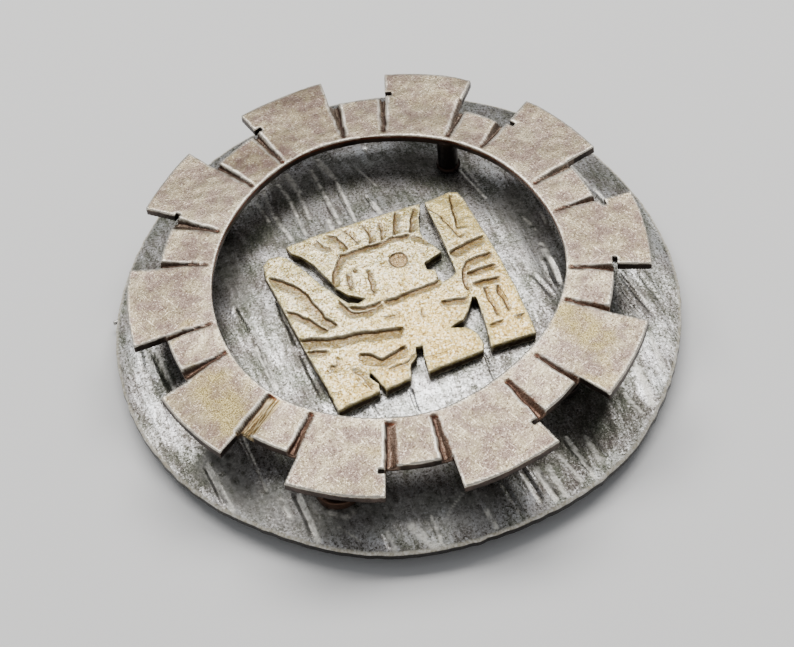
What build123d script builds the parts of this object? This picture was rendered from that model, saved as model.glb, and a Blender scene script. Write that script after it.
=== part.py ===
from build123d import *
from math import asin, cos, degrees, radians, sin, sqrt
import os

os.makedirs("parts", exist_ok=True)

# Disc brooch lying on its back. Millimetres, +Z up and out of its face.
# The origin is on the surface it rests on, under the middle of the disc.

# Domed disc
disc_radius = 25.0
disc_sheet = 0.8
dome_rise = 3.75
chase_width = 0.7
chase_depth = 0.28
chase_lead = 0.2

# Ring of tabs, which stands on posts over the disc
ring_inner_radius = 15.25
ring_outer_radius = 22.8
short_tab_radius = 19.85
ring_sheet = 0.9
ring_gap = 3.55
ring_fall = 0.5
ring_tilt = 1.2
ring_shift_x = -0.54
ring_shift_y = -0.56
notch_depth = 0.55
notch_inset = 0.5
nick_length = 0.9
nick_width = 0.42
post_radius = 0.9
collar_radius = 2.2
collar_height = 0.5

# Figure plaque, curved like the disc
plaque_half_width = 9.6
plaque_half_height = 8.5
plaque_sheet = 1.0
plaque_turn = 19.0
plaque_x = 0.2
plaque_y = -1.4
stroke_width = 0.55
stroke_depth = 0.35

# Pin fitting behind the disc
pin_offset = 11.0
pin_peek = 0.5
pin_point = 3.5
stem_radius = 0.5
catch_sheet = 0.45
catch_inset = 5.0
catch_length = 3.0
catch_width = 3.6
hinge_inset = 6.5
hinge_length = 4.0
hinge_width = 5.0
plate_sheet = 0.6
ear_length = 2.4
ear_sheet = 0.6
eye_radius = 0.85
eye_width = 1.2

# Thin seams between pieces that sit on each other, and room over the stem at the rim
seam = 0.06
pin_clearance = 0.1

# Stock left round an outline before it is cut to shape
stock_share = 1.08

rim_top = catch_sheet + 2 * stem_radius + pin_clearance + disc_sheet
dome_radius = (disc_radius**2 + dome_rise**2) / (2 * dome_rise)
dome_centre = rim_top + dome_rise - dome_radius
well_above = 3 * (dome_rise + ring_gap)


def dome_height(radius):
    """Height of the disc's face at a distance from its middle."""
    return dome_centre + sqrt(dome_radius**2 - radius**2)


def dome_ball(radius, mode):
    """Ball about the centre of the dome, which cuts the piece being made."""
    with Locations((0, 0, dome_centre)):
        Sphere(radius, rotation=(90, 0, 0), mode=mode)


def polar(radius, angle):
    """Point at a radius and an angle in degrees."""
    return (radius * cos(radians(angle)), radius * sin(radians(angle)))


def graver_cut(points, width):
    """Outline of a cut along points: pointed at its ends and full width between them."""
    left = []
    right = []
    for before, here, after in zip(points, points[1:], points[2:]):
        along = Vector(*after) - Vector(*before)
        side = Vector(-along.Y, along.X).normalized() * (width / 2)
        left.append(Vector(*here) + side)
        right.append(Vector(*here) - side)
    return [Vector(*points[0]), *right, Vector(*points[-1]), *reversed(left)]


# Rim of the disc, cut by hand: angle, share of disc_radius
rim_waves = [
    (0, 0.999),
    (30, 0.992),
    (52, 1.006),
    (75, 1.002),
    (100, 1.003),
    (128, 0.994),
    (155, 0.986),
    (180, 0.998),
    (215, 1.006),
    (240, 0.993),
    (262, 1.002),
    (288, 0.993),
    (315, 1.010),
    (340, 1.000),
]

# Chased lines on the disc: start x and y, end x and y as shares of disc_radius,
# width as a share of chase_width
chased_lines = [
    (-0.48, 0.50, -0.42, 0.37, 0.8),
    (-0.44, 0.55, -0.34, 0.24, 0.8),
    (-0.38, 0.52, -0.29, 0.27, 1.0),
    (-0.34, 0.59, -0.28, 0.37, 0.8),
    (-0.26, 0.57, -0.17, 0.30, 0.8),
    (-0.24, 0.68, -0.12, 0.33, 1.0),
    (-0.09, 0.60, -0.03, 0.36, 0.8),
    (0.22, 0.67, 0.36, 0.38, 0.7),
    (0.52, 0.17, 0.60, -0.03, 1.4),
    (-0.56, 0.00, -0.42, -0.42, 1.6),
    (-0.43, 0.02, -0.29, -0.46, 1.6),
    (-0.13, -0.44, -0.09, -0.56, 0.8),
    (0.01, -0.40, 0.05, -0.56, 0.9),
    (0.27, -0.29, 0.33, -0.46, 0.8),
    (-0.59, -0.48, -0.48, -0.80, 0.9),
    (-0.72, -0.52, -0.61, -0.76, 1.2),
    (-0.42, -0.70, -0.33, -0.90, 1.5),
    (-0.13, -0.89, -0.07, -0.97, 1.0),
    (0.02, -0.85, 0.08, -0.97, 1.0),
    (0.33, -0.70, 0.44, -0.88, 1.2),
    (0.49, -0.60, 0.62, -0.76, 1.2),
    (0.56, -0.55, 0.67, -0.70, 0.9),
    (-0.87, -0.06, -0.85, -0.25, 1.0),
    (-0.83, -0.12, -0.79, -0.28, 0.9),
    (0.76, 0.08, 0.90, -0.17, 1.2),
    (0.78, -0.05, 0.86, -0.18, 0.9),
]

# Tabs, counter-clockwise: start and end angle of a long tab and share of ring_outer_radius,
# then start and end angle of the short tab after it and share of short_tab_radius
ring_tabs = [
    (-4.8, 15.7, 1.000, 17.9, 29.2, 0.985),
    (30.8, 51.7, 0.990, 54.6, 64.6, 0.960),
    (66.0, 86.1, 0.998, 87.3, 98.5, 1.000),
    (100.7, 120.8, 1.005, 122.4, 133.8, 1.012),
    (135.9, 153.5, 1.015, 158.0, 167.8, 1.008),
    (170.5, 191.6, 0.995, 193.4, 202.9, 0.998),
    (207.1, 227.1, 0.988, 230.5, 240.3, 1.000),
    (243.4, 265.1, 0.998, 268.1, 278.8, 1.002),
    (281.4, 303.8, 1.008, 307.1, 317.3, 1.008),
    (319.2, 340.0, 1.012, 342.0, 352.4, 0.985),
]

# Opening of the ring, sawn by hand: angle, share of ring_inner_radius
opening_waves = [
    (5, 1.013),
    (30, 0.998),
    (60, 1.002),
    (84, 0.992),
    (110, 1.013),
    (150, 0.994),
    (180, 0.999),
    (223, 1.020),
    (262, 0.998),
    (285, 0.996),
    (303, 0.978),
    (332, 0.995),
]

# Places where the saw ran on into a long tab: angle, share of short_tab_radius
saw_nicks = [
    (85.6, 1.025),
    (51.2, 0.985),
    (15.2, 1.010),
    (303.4, 1.020),
    (264.6, 1.025),
    (153.9, 1.010),
    (120.4, 1.030),
    (356.0, 0.990),
]

# Posts under the ring: angle, share of the way out from the opening to the short tabs' edge,
# share of collar_radius
posts = [
    (66, 0.14, 0.50),
    (142, 0.78, 0.70),
    (196, 0.40, 0.80),
    (252, 0.78, 1.00),
    (324, 0.40, 0.80),
]

# Outline of the plaque with its saw cuts, counter-clockwise from its lower left corner:
# shares of plaque_half_width and plaque_half_height
foot_edge = [
    (-0.965, -1.000),
    (-0.560, -0.995),
    (-0.540, -0.910),
    (-0.590, -0.800),
    (-0.560, -0.760),
    (-0.535, -0.830),
    (-0.505, -1.005),
    (-0.260, -0.990),
    (-0.200, -0.845),
    (-0.125, -0.790),
    (-0.090, -0.690),
    (-0.025, -0.700),
    (-0.065, -0.820),
    (-0.090, -1.005),
]
staff_cut = [
    (0.450, -0.995),
    (0.478, -0.925),
    (0.480, -0.820),
    (0.450, -0.735),
    (0.405, -0.680),
    (0.273, -0.625),
    (0.330, -0.602),
    (0.420, -0.585),
    (0.500, -0.505),
    (0.565, -0.410),
    (0.590, -0.370),
    (0.622, -0.388),
    (0.605, -0.555),
    (0.580, -0.725),
    (0.525, -0.990),
]
staff_edge = [
    (0.960, -1.000),
    (0.978, -0.900),
    (1.000, -0.450),
    (1.012, -0.015),
    (1.005, 0.430),
    (1.000, 0.860),
    (0.983, 0.985),
    (0.910, 1.015),
    (0.650, 0.985),
]
face_cut = [
    (0.645, 0.890),
    (0.625, 0.590),
    (0.613, 0.365),
    (0.590, 0.160),
    (0.572, -0.013),
    (0.520, -0.055),
    (0.420, -0.072),
    (0.403, 0.005),
    (0.415, 0.093),
    (0.345, 0.135),
    (0.357, 0.225),
    (0.548, 0.286),
    (0.512, 0.402),
    (0.466, 0.527),
    (0.470, 0.625),
    (0.525, 0.800),
    (0.605, 0.990),
]
crest_edge = [
    (0.352, 1.010),
    (-0.143, 1.055),
    (-0.490, 1.092),
    (-0.700, 1.090),
]
neck_cut = [
    (-0.686, 0.990),
    (-0.620, 0.890),
    (-0.553, 0.720),
    (-0.520, 0.562),
    (-0.477, 0.333),
    (-0.417, 0.202),
    (-0.283, 0.072),
    (-0.370, 0.050),
    (-0.449, 0.105),
    (-0.517, 0.265),
    (-0.575, 0.430),
    (-0.615, 0.576),
    (-0.675, 0.768),
    (-0.740, 0.945),
]
wing_edge = [
    (-0.794, 1.025),
    (-0.888, 1.048),
    (-0.969, 0.990),
    (-0.997, 0.853),
    (-0.995, 0.300),
    (-0.990, -0.200),
    (-0.973, -0.549),
]
right_side = [*foot_edge, *staff_cut, *staff_edge, *face_cut]
left_side = [*crest_edge, *neck_cut, *wing_edge]
plaque_outline = [*right_side, *left_side]

# Engraved lines of the figure: width as a share of stroke_width, then points as shares of
# plaque_half_width and plaque_half_height
crest_strokes = [
    (1.0, [(-0.47, 0.40), (-0.42, 0.51), (-0.35, 0.65), (-0.28, 0.71), (-0.13, 0.69), (0.06, 0.67)]),
    (1.0, [(0.00, 0.67), (0.13, 0.67), (0.26, 0.68), (0.38, 0.67), (0.44, 0.66)]),
    (0.8, [(-0.42, 1.03), (-0.375, 0.90), (-0.32, 0.79)]),
    (0.8, [(-0.27, 1.00), (-0.235, 0.89), (-0.19, 0.74)]),
    (0.8, [(-0.13, 0.99), (-0.11, 0.87), (-0.09, 0.75)]),
    (0.8, [(0.035, 0.98), (0.025, 0.83), (0.00, 0.72)]),
    (0.7, [(0.11, 0.92), (0.12, 0.87), (0.12, 0.82)]),
    (0.8, [(0.195, 0.93), (0.155, 0.81), (0.09, 0.69)]),
    (0.8, [(0.365, 1.00), (0.295, 0.84), (0.24, 0.69)]),
    (0.8, [(0.505, 0.95), (0.435, 0.78), (0.38, 0.67)]),
]
head_strokes = [
    (0.9, [(-0.33, 0.47), (-0.355, 0.35), (-0.365, 0.23)]),
    (0.9, [(-0.145, 0.42), (-0.165, 0.29), (-0.19, 0.10)]),
    (1.0, [(-0.47, 0.06), (-0.375, 0.00), (-0.265, -0.03), (-0.07, -0.04), (0.10, -0.04)]),
    (1.1, [(0.02, -0.04), (0.15, -0.04), (0.275, -0.035), (0.365, -0.04), (0.42, 0.00)]),
]
staff_strokes = [
    (1.0, [(0.67, 0.85), (0.72, 0.68), (0.78, 0.49)]),
    (1.2, [(0.89, 0.97), (0.83, 0.72), (0.80, 0.55), (0.78, 0.37)]),
    (1.3, [(0.60, 0.22), (0.75, 0.28), (0.89, 0.315), (0.98, 0.32)]),
    (1.0, [(0.97, 0.10), (0.85, 0.10), (0.725, 0.075), (0.66, 0.01), (0.60, -0.15), (0.575, -0.28)]),
    (1.0, [(0.655, -0.055), (0.755, -0.06), (0.85, -0.065), (0.935, -0.085)]),
    (1.0, [(0.665, -0.24), (0.775, -0.245), (0.89, -0.24)]),
    (1.0, [(0.74, -0.33), (0.73, -0.48), (0.725, -0.65)]),
    (1.0, [(0.865, -0.31), (0.85, -0.48), (0.835, -0.61), (0.80, -0.68)]),
    (0.9, [(0.60, -0.745), (0.685, -0.735), (0.765, -0.735)]),
    (0.9, [(0.80, -0.80), (0.89, -0.74), (0.965, -0.735)]),
]
body_strokes = [
    (1.0, [(0.31, -0.28), (0.415, -0.305), (0.53, -0.34), (0.59, -0.31)]),
    (1.2, [(-0.95, 0.74), (-0.84, 0.62), (-0.77, 0.44), (-0.72, 0.21), (-0.68, 0.03), (-0.61, -0.11)]),
    (1.0, [(-0.985, 0.34), (-0.925, 0.26), (-0.855, 0.13), (-0.79, 0.02), (-0.72, -0.12)]),
    (1.6, [(-0.985, -0.05), (-0.83, -0.14), (-0.69, -0.21), (-0.51, -0.26), (-0.25, -0.36), (-0.10, -0.42)]),
    (1.0, [(-0.985, -0.23), (-0.91, -0.28), (-0.81, -0.35)]),
    (1.2, [(-0.575, -0.49), (-0.485, -0.57), (-0.405, -0.66), (-0.31, -0.655), (-0.15, -0.62)]),
    (0.8, [(-0.685, -0.66), (-0.655, -0.80), (-0.635, -0.91)]),
]
engraved_strokes = [*crest_strokes, *head_strokes, *staff_strokes, *body_strokes]

# Punched marks of the figure: place as shares of the half sizes, share of stroke_width
punched_marks = [
    (0.125, 0.37, 1.5),
    (-0.25, 0.43, 0.8),
    (-0.84, -0.53, 0.9),
]


# Base sheet, domed, cut round and chased with lines that run one way
with BuildPart() as domed_disc:
    with BuildSketch(Plane.XZ):
        with BuildLine():
            sweep_angle = degrees(asin(stock_share * disc_radius / dome_radius))
            face = CenterArc((0, dome_centre), dome_radius, 90 - sweep_angle, sweep_angle)
            back = CenterArc((0, dome_centre), dome_radius - disc_sheet, 90 - sweep_angle, sweep_angle)
            Line(face @ 0, back @ 0)
            Line(face @ 1, back @ 1)
        make_face()
    revolve(axis=Axis.Z)
    with BuildSketch():
        with BuildLine():
            rim = [polar(disc_radius * share, angle) for angle, share in rim_waves]
            Spline(*rim, periodic=True)
        make_face()
    extrude(amount=well_above, mode=Mode.INTERSECT)

with BuildPart() as chasing:
    with BuildSketch():
        for start_x, start_y, end_x, end_y, width_share in chased_lines:
            start = Vector(start_x, start_y) * disc_radius
            end = Vector(end_x, end_y) * disc_radius
            lead = (end - start) * chase_lead
            cut_points = [start, start + lead, end - lead, end]
            with BuildLine():
                Polyline(*graver_cut(cut_points, chase_width * width_share), close=True)
            make_face()
    extrude(amount=well_above)
    dome_ball(dome_radius - chase_depth, Mode.SUBTRACT)

with domed_disc:
    add(chasing.part, mode=Mode.SUBTRACT)

domed_disc.part.label = "domed_disc"
export_step(domed_disc.part, "parts/domed_disc.step")


# Ring of ten long and ten short tabs, sawn from one sheet, with a V notch between
# each two, and the posts soldered under it
ring_top = dome_height(ring_inner_radius) + ring_gap + ring_sheet
ring_face = Plane(
    origin=(ring_shift_x, ring_shift_y, ring_top),
    x_dir=(cos(radians(ring_tilt)), 0, sin(radians(ring_tilt))),
    z_dir=(-sin(radians(ring_tilt)), 0, cos(radians(ring_tilt))),
)
ring_section = Plane(origin=ring_face.origin, x_dir=ring_face.x_dir, z_dir=-ring_face.y_dir)
fall_per_mm = ring_fall / (ring_outer_radius - ring_inner_radius)


def ring_level(radius):
    """Height of the ring's face over its own plane at a radius."""
    return -fall_per_mm * (radius - ring_inner_radius)


def ring_point(radius, angle, height):
    """Point over the ring's own plane."""
    x, y = polar(radius, angle)
    return ring_face.from_local_coords((x, y, height))


def notch_plane(angle, radius):
    """Plane across a V notch at its outer end, square to the line of its bottom."""
    start = ring_point(radius, angle, ring_level(radius) - notch_depth)
    inner = ring_inner_radius + notch_inset
    end = ring_point(inner, angle, ring_level(inner))
    sideways = ring_point(radius, angle, 0) - ring_point(radius, angle + 1, 0)
    return Plane(origin=start, x_dir=sideways.normalized(), z_dir=(end - start).normalized())


with BuildPart() as notched_ring:
    with BuildSketch(ring_section):
        with BuildLine():
            inner = ring_inner_radius / stock_share
            outer = ring_outer_radius * stock_share
            Polyline(
                (inner, ring_level(inner)),
                (outer, ring_level(outer)),
                (outer, ring_level(outer) - ring_sheet),
                (inner, ring_level(inner) - ring_sheet),
                close=True,
            )
        make_face()
    revolve(axis=Axis(ring_face.origin, ring_face.z_dir))
    with BuildSketch(ring_face.offset(-well_above / 2)):
        with BuildLine():
            for row, next_row in zip(ring_tabs, [*ring_tabs[1:], ring_tabs[0]]):
                long_start, long_end, long_share, short_start, short_end, short_share = row
                next_start = next_row[0] % 360
                long_radius = ring_outer_radius * long_share
                short_radius = short_tab_radius * short_share
                CenterArc((0, 0), long_radius, long_start, long_end - long_start)
                Line(polar(long_radius, long_end), polar(short_radius, long_end))
                CenterArc((0, 0), short_radius, long_end, next_start - long_end)
                next_radius = ring_outer_radius * next_row[2]
                Line(polar(short_radius, next_start), polar(next_radius, next_start))
        make_face()
        with BuildLine():
            opening = [polar(ring_inner_radius * share, angle) for angle, share in opening_waves]
            Spline(*opening, periodic=True)
        make_face(mode=Mode.SUBTRACT)
        for angle, share in saw_nicks:
            with Locations(Location((*polar(short_tab_radius * share, angle), 0), (0, 0, angle))):
                Rectangle(nick_width, nick_length, mode=Mode.SUBTRACT)
    extrude(amount=well_above, mode=Mode.INTERSECT)
    for row, next_row in zip(ring_tabs, [*ring_tabs[1:], ring_tabs[0]]):
        long_start, long_end, long_share, short_start, short_end, short_share = row
        short_radius = short_tab_radius * short_share + seam
        for before, after in ((long_end, short_start), (short_end, next_row[0] % 360)):
            half_width = short_radius * sin(radians(after - before) / 2)
            with BuildSketch(notch_plane((before + after) / 2, short_radius)):
                with BuildLine():
                    corners = [(0, 0), (2 * half_width, 2 * notch_depth), (-2 * half_width, 2 * notch_depth)]
                    Polyline(*corners, close=True)
                make_face()
            extrude(amount=2 * (short_radius - ring_inner_radius), mode=Mode.SUBTRACT)

with BuildPart() as ring_posts:
    for angle, share, collar_share in posts:
        radius = ring_inner_radius + (short_tab_radius - ring_inner_radius) * share
        top = ring_point(radius, angle, ring_level(radius) - ring_sheet / 2)
        away = sqrt(top.X**2 + top.Y**2)
        with BuildSketch(Plane(origin=(top.X, top.Y, top.Z))):
            Circle(post_radius)
        extrude(amount=-(ring_gap + dome_rise))
        with BuildSketch(Plane(origin=(top.X, top.Y, dome_height(away) + collar_height))):
            Circle(collar_radius * collar_share)
        extrude(amount=-dome_rise)
    dome_ball(dome_radius + seam, Mode.SUBTRACT)

with notched_ring:
    add(ring_posts.part)

notched_ring.part.label = "notched_ring"
export_step(notched_ring.part, "parts/notched_ring.step")


# Plaque, a sheet curved to sit on the disc, pierced and engraved
plaque_base = Plane(
    origin=(plaque_x, plaque_y, rim_top),
    x_dir=(*polar(1, plaque_turn), 0),
    z_dir=(0, 0, 1),
)
plaque_face_radius = dome_radius + seam + plaque_sheet


def on_plaque(point):
    """Place on the plaque of a point given as shares of its half sizes."""
    return (point[0] * plaque_half_width, point[1] * plaque_half_height)


with BuildPart() as figure_plaque:
    with BuildSketch(plaque_base):
        with BuildLine():
            Polyline(*[on_plaque(point) for point in plaque_outline], close=True)
        make_face()
    extrude(amount=well_above)
    dome_ball(plaque_face_radius, Mode.INTERSECT)
    dome_ball(dome_radius + seam, Mode.SUBTRACT)

with BuildPart() as engraving:
    with BuildSketch(plaque_base):
        for width_share, points in engraved_strokes:
            with BuildLine():
                cut = graver_cut([on_plaque(point) for point in points], stroke_width * width_share)
                Polyline(*cut, close=True)
            make_face()
        for across, up, size_share in punched_marks:
            with Locations(on_plaque((across, up))):
                Circle(stroke_width * size_share)
    extrude(amount=well_above)
    dome_ball(plaque_face_radius - stroke_depth, Mode.SUBTRACT)

with figure_plaque:
    add(engraving.part, mode=Mode.SUBTRACT)

figure_plaque.part.label = "figure_plaque"
export_step(figure_plaque.part, "parts/figure_plaque.step")


# Pin fitting, as one plain piece: a hinge with two ears and an eye, a pointed stem and a hooked
# catch, on plates bent to the back of the disc
pin_half_chord = sqrt(disc_radius**2 - pin_offset**2)
pin_reach = pin_half_chord + pin_peek
hinge_place = pin_half_chord - hinge_inset
catch_place = catch_inset - pin_half_chord
pin_height = catch_sheet + stem_radius
pin_base = Plane(
    origin=(*polar(pin_offset, plaque_turn + 90), 0),
    x_dir=(*polar(1, plaque_turn), 0),
    z_dir=(0, 0, 1),
)
plate_face_radius = dome_radius - disc_sheet - seam


def across_pin(place):
    """Plane square to the stem at a place along it, with its own Y upwards."""
    return Plane(
        origin=pin_base.from_local_coords((place, 0, pin_height)),
        x_dir=pin_base.y_dir,
        z_dir=pin_base.x_dir,
    )


with BuildPart() as pin_plates:
    with BuildSketch(pin_base):
        with Locations((hinge_place, 0)):
            Rectangle(hinge_length, hinge_width)
        with Locations((catch_place, 0)):
            Rectangle(catch_length, catch_width)
    extrude(amount=well_above)
    dome_ball(plate_face_radius, Mode.INTERSECT)
    dome_ball(plate_face_radius - plate_sheet, Mode.SUBTRACT)

with BuildPart() as pin_back:
    with BuildSketch(pin_base):
        for side in (-1, 1):
            with Locations((hinge_place, side * (eye_width + ear_sheet) / 2)):
                Rectangle(ear_length, ear_sheet)
    extrude(amount=well_above)
    with BuildSketch(across_pin(catch_place - catch_length / 2)):
        Circle(pin_height)
        with Locations((stem_radius + catch_sheet / 2, well_above / 2)):
            Rectangle(catch_sheet, well_above)
    extrude(amount=catch_length)
    dome_ball(plate_face_radius - plate_sheet / 2, Mode.INTERSECT)
    add(pin_plates.part)
    eye_centre = across_pin(hinge_place).origin
    with BuildSketch(Plane(origin=eye_centre, x_dir=pin_base.x_dir, z_dir=pin_base.y_dir)):
        Circle(eye_radius)
    extrude(amount=eye_width / 2, both=True)
    with BuildSketch(across_pin(hinge_place)):
        Circle(stem_radius)
    extrude(amount=-(hinge_place + pin_reach - pin_point))
    with BuildSketch(across_pin(pin_point - pin_reach)):
        Circle(stem_radius)
    with BuildSketch(across_pin(-pin_reach)):
        Circle(stem_radius / 3)
    loft()

pin_back.part.label = "pin_back"
export_step(pin_back.part, "parts/pin_back.step")
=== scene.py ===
from math import cos, pi, radians, sin
import bmesh
import bpy
import numpy as np
from mathutils import Matrix, Vector
from mathutils.kdtree import KDTree


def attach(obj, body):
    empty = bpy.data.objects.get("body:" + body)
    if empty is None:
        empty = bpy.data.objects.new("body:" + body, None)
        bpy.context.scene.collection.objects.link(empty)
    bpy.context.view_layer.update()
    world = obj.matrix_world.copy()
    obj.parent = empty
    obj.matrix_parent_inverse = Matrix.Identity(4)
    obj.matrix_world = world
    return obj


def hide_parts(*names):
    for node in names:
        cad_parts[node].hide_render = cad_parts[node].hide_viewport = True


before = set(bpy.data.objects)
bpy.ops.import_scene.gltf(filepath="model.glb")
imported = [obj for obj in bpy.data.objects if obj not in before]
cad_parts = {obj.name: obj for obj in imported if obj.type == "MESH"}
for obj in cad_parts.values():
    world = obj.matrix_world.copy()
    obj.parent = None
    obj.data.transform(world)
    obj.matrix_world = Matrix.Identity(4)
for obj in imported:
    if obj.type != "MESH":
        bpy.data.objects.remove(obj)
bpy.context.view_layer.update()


# Domed disc: the round base of the brooch, one silver sheet domed with a hammer and cut round
# by hand. Its face is chased with lines that run one way, oxidised nearly black, and rubbed
# bright again where fingers and cloth reach it; its colour also carries painted highlights,
# painted reflections and painted shade. Sizes are in millimetres, the mesh in metres.
mm = 0.001
disc_radius = 25.0
disc_sheet = 0.8
dome_radius = 85.208
dome_centre = -79.108
rim_round = 0.16
covered_radius = 7.0
chase_turn = 17.0
covered_rings = 8
face_rings = 111
back_rings = 9
rim_steps = 720

# Crescent of solder left on the face: x, y, radius, width
solder_trace = (-12.15, -15.5, 0.72, 0.12)

# Rim of the disc, as it was cut: angle, share of disc_radius
rim_waves = [
    (0, 0.999), (30, 0.992), (52, 1.006), (75, 1.002), (100, 1.003), (128, 0.994), (155, 0.986),
    (180, 0.998), (215, 1.006), (240, 0.993), (262, 1.002), (288, 0.993), (315, 1.010), (340, 1.000),
]

# Chased lines: start x and y, end x and y, width, depth
chased_lines = [
    (-11.9, 12.4, -10.8, 9.6, 0.40, 0.08), (-10.1, 10.0, -8.8, 6.8, 0.40, 0.08),
    (-9.7, 14.0, -8.6, 11.4, 0.45, 0.10), (-8.1, 9.9, -7.5, 7.0, 0.40, 0.12),
    (-8.9, 15.2, -7.9, 12.7, 0.50, 0.10), (-6.7, 15.4, -4.5, 8.1, 0.45, 0.12),
    (-6.0, 16.6, -4.6, 13.8, 0.55, 0.12), (-4.6, 13.8, -3.1, 8.1, 0.45, 0.12),
    (-1.5, 17.6, -0.9, 14.9, 0.70, 0.16), (-1.8, 11.2, -0.8, 8.6, 0.40, 0.14),
    (5.6, 16.5, 8.8, 9.8, 0.35, 0.08), (13.6, 2.6, 14.4, -1.0, 0.90, 0.20),
    (11.9, 0.8, 13.9, -2.2, 0.70, 0.12), (-14.2, 0.5, -12.9, -3.0, 0.50, 0.18),
    (-12.9, -3.0, -11.2, -8.5, 0.50, 0.20), (-10.4, 0.6, -9.5, -3.2, 0.70, 0.16),
    (-9.6, -2.0, -8.7, -5.3, 1.00, 0.20), (-8.8, -5.0, -6.5, -11.6, 1.10, 0.20),
    (-3.0, -11.4, -2.3, -13.4, 0.40, 0.12), (0.4, -10.4, 1.1, -13.4, 0.50, 0.14),
    (7.0, -7.3, 7.9, -11.0, 0.45, 0.14), (-14.6, -12.0, -12.4, -18.2, 0.45, 0.12),
    (-17.7, -14.3, -15.8, -19.2, 0.70, 0.18), (-11.4, -19.0, -10.6, -20.6, 0.60, 0.12),
    (-10.2, -18.2, -8.7, -22.8, 0.70, 0.20), (-3.0, -22.9, -2.4, -24.6, 0.60, 0.14),
    (0.8, -22.1, 1.7, -24.8, 0.45, 0.16), (5.2, -21.2, 6.2, -23.4, 0.50, 0.12),
    (7.2, -19.4, 9.0, -23.0, 0.50, 0.12), (9.0, -18.2, 10.6, -21.8, 0.60, 0.16),
    (10.2, -18.3, 12.0, -21.6, 0.55, 0.14), (12.9, -15.8, 15.2, -19.4, 0.60, 0.20),
    (14.6, -15.0, 16.9, -18.4, 0.45, 0.12), (18.7, -11.4, 20.0, -13.6, 0.40, 0.10),
    (-21.8, -2.0, -20.3, -6.6, 0.55, 0.14), (-21.0, -3.3, -19.8, -8.0, 0.55, 0.14),
    (-23.4, 3.0, -22.4, -4.7, 0.60, 0.10), (19.5, 1.1, 22.5, -4.0, 0.55, 0.16),
    (19.2, -0.7, 21.4, -4.4, 0.45, 0.12), (21.2, 1.4, 23.4, -2.6, 0.50, 0.10),
    (18.4, 11.0, 20.4, 7.8, 0.50, 0.08), (16.6, 14.4, 18.6, 10.6, 0.45, 0.08),
]

# Thin lines that catch the light, painted bright as glints along scored lines: start x and y, end x and y,
# width, strength
bright_lines = [
    (-11.7, 12.4, -10.6, 9.6, 0.27, 0.6), (-10.9, 13.4, -10.1, 10.0, 0.21, 0.5),
    (-10.0, 10.0, -8.7, 6.8, 0.26, 0.8), (-9.5, 14.0, -8.4, 11.4, 0.32, 0.7),
    (-8.5, 11.4, -7.4, 7.2, 0.24, 0.6), (-8.7, 15.2, -7.7, 12.7, 0.44, 0.9),
    (-7.8, 12.7, -6.9, 9.1, 0.24, 0.6), (-6.5, 15.4, -4.3, 8.1, 0.27, 0.8),
    (-5.3, 8.6, -5.0, 7.5, 0.32, 1.0), (-5.8, 16.6, -4.4, 13.8, 0.40, 1.0),
    (-4.4, 13.8, -2.9, 8.1, 0.27, 0.8), (-2.3, 14.7, -0.7, 12.2, 0.19, 0.5),
    (-1.2, 10.0, -0.7, 8.8, 0.48, 0.9), (5.7, 16.4, 6.8, 13.6, 0.24, 0.9),
    (6.8, 13.6, 8.9, 9.6, 0.19, 0.8), (7.3, 14.0, 8.5, 11.3, 0.27, 0.3),
    (12.0, 7.2, 12.9, 5.7, 0.22, 0.6), (13.6, 7.8, 14.0, 6.3, 0.27, 0.6),
    (13.3, 3.9, 13.9, 1.9, 0.48, 1.0), (13.9, 1.9, 14.4, 0.0, 0.36, 0.9),
    (-12.4, -4.3, -11.0, -8.7, 0.36, 0.7), (-17.4, -14.7, -15.5, -19.0, 0.36, 1.0),
    (-14.1, -12.8, -12.5, -17.8, 0.18, 0.9), (-9.8, -18.8, -8.5, -22.9, 0.40, 1.0),
    (-11.3, -19.0, -10.7, -20.4, 0.48, 0.7), (-2.7, -23.0, -2.2, -24.5, 0.36, 1.0),
    (-0.6, -22.8, 1.1, -24.5, 0.64, 0.7), (1.1, -22.0, 1.9, -24.8, 0.18, 1.0),
    (9.1, -19.0, 10.2, -21.5, 0.24, 0.8), (10.4, -18.6, 11.6, -21.2, 0.44, 0.9),
    (11.3, -18.4, 12.5, -20.9, 0.36, 0.8), (13.2, -15.8, 15.2, -19.4, 0.22, 1.0),
    (12.5, -17.4, 14.0, -19.8, 0.24, 0.7), (14.8, -15.8, 16.0, -18.1, 0.40, 0.6),
    (5.8, -22.0, 6.4, -23.4, 0.36, 0.8), (-6.7, -22.0, -4.9, -23.5, 0.14, 0.6),
    (3.9, -20.3, 2.5, -22.0, 0.13, 0.6), (18.7, -11.7, 20.0, -13.6, 0.18, 0.7),
    (17.0, -8.5, 17.4, -9.7, 0.14, 0.7), (-21.4, -2.2, -19.9, -6.6, 0.24, 0.7),
    (20.5, 0.4, 22.0, -2.6, 0.18, 0.7), (19.6, -1.4, 21.0, -4.0, 0.16, 0.7),
    (20.2, -9.2, 20.9, -12.6, 0.56, 0.8), (21.6, -5.6, 22.4, -9.0, 0.40, 0.6),
    (18.8, 10.9, 20.2, 8.4, 0.21, 0.5), (16.9, 14.2, 18.4, 11.2, 0.19, 0.5),
    (-7.3, -20.7, -6.1, -21.3, 0.36, 0.5), (-6.1, -21.3, -5.3, -21.0, 0.40, 0.6),
]
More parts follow.
